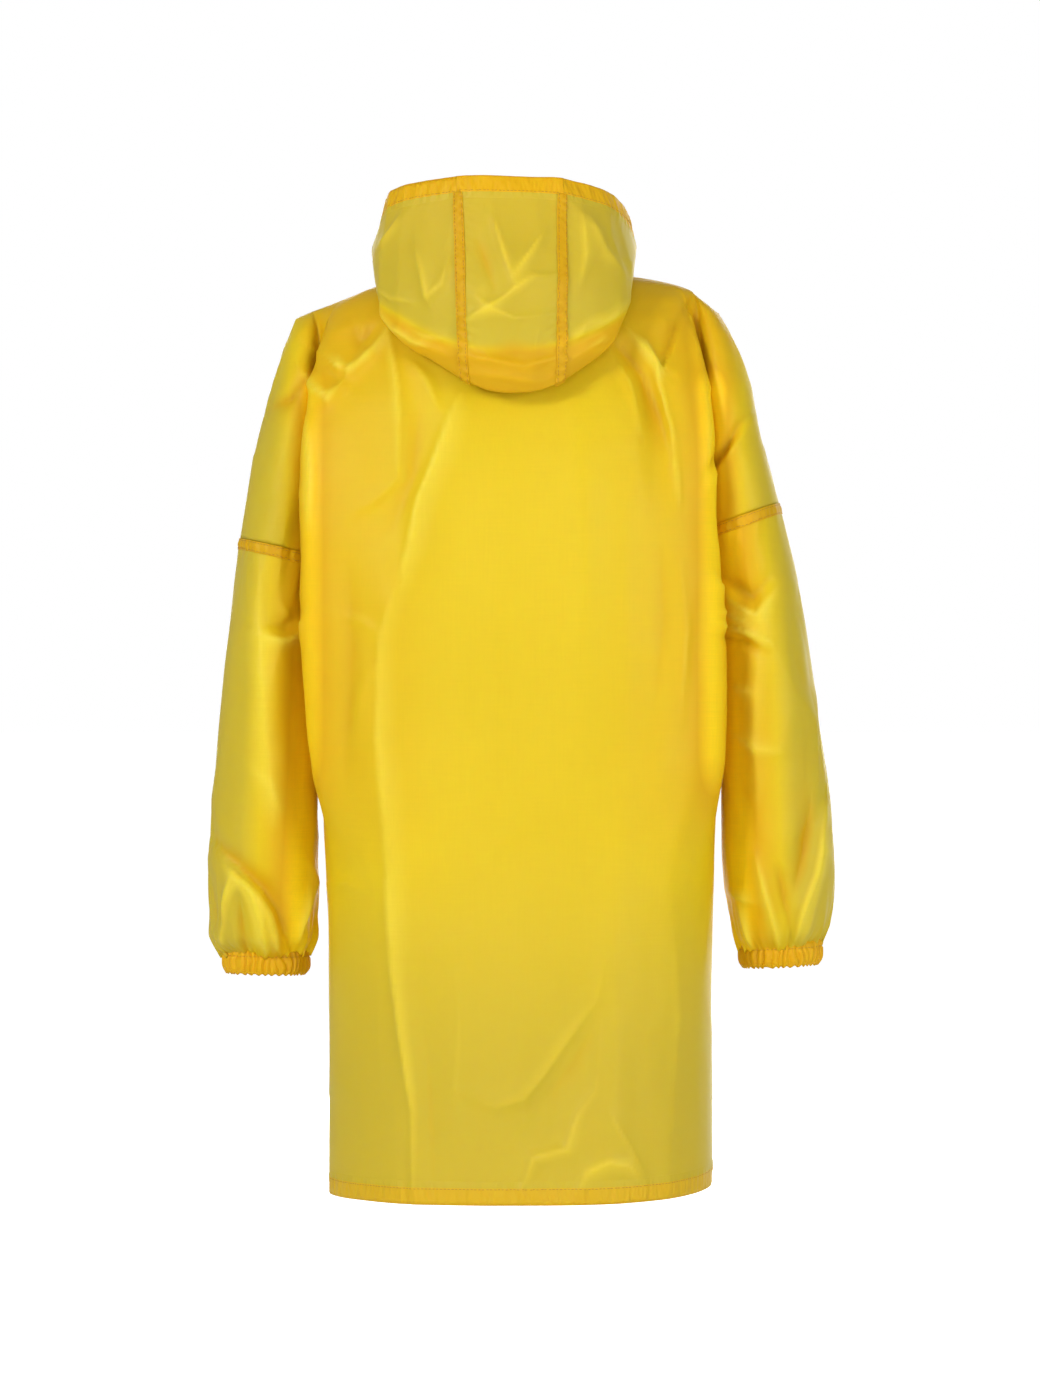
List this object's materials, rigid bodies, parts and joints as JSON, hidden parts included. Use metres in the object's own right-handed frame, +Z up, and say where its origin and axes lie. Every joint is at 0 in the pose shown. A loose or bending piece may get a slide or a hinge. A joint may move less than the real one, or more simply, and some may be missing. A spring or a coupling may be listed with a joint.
{
  "type": "kids raincoat",
  "caption": "Yellow knee-length child's raincoat with a three-panel hood, dropped shoulders, elastic cuffs and a press-stud front",
  "frame": {"origin": "the middle of the neck hole at the height of the shoulders, the mount worn_on_shoulders", "axes": "+X towards the wearer's right, +Y towards the front of the coat with the press studs, +Z up from the hem to the hood. The picture looks along +Y at the back"},
  "size_m": [0.5681, 0.2609, 0.9015],
  "materials": {
    "coat_cloth": "thin translucent coated cloth with a soft sheen, fine creases",
    "doubled_cloth": "the same cloth folded double and stitched, slightly puckered",
    "press_stud": "smooth moulded press stud cap"
  },
  "bodies": {
    "root": {"back": "coat_cloth", "front_left": "coat_cloth", "front_right": "coat_cloth", "sleeve_left": "coat_cloth", "sleeve_right": "coat_cloth", "hood_left": "coat_cloth", "hood_middle": "coat_cloth", "hood_right": "coat_cloth", "hem_back": "doubled_cloth", "hem_front_left": "doubled_cloth", "hem_front_right": "doubled_cloth", "armhole_seam_left": "doubled_cloth", "armhole_seam_right": "doubled_cloth", "cuff_left": "doubled_cloth", "cuff_right": "doubled_cloth", "hood_seam_left": "doubled_cloth", "hood_seam_right": "doubled_cloth", "hood_rim": "doubled_cloth", "snap_1": "press_stud", "snap_2": "press_stud", "snap_3": "press_stud", "snap_4": "press_stud", "snap_5": "press_stud"}
  },
  "joints": []
}
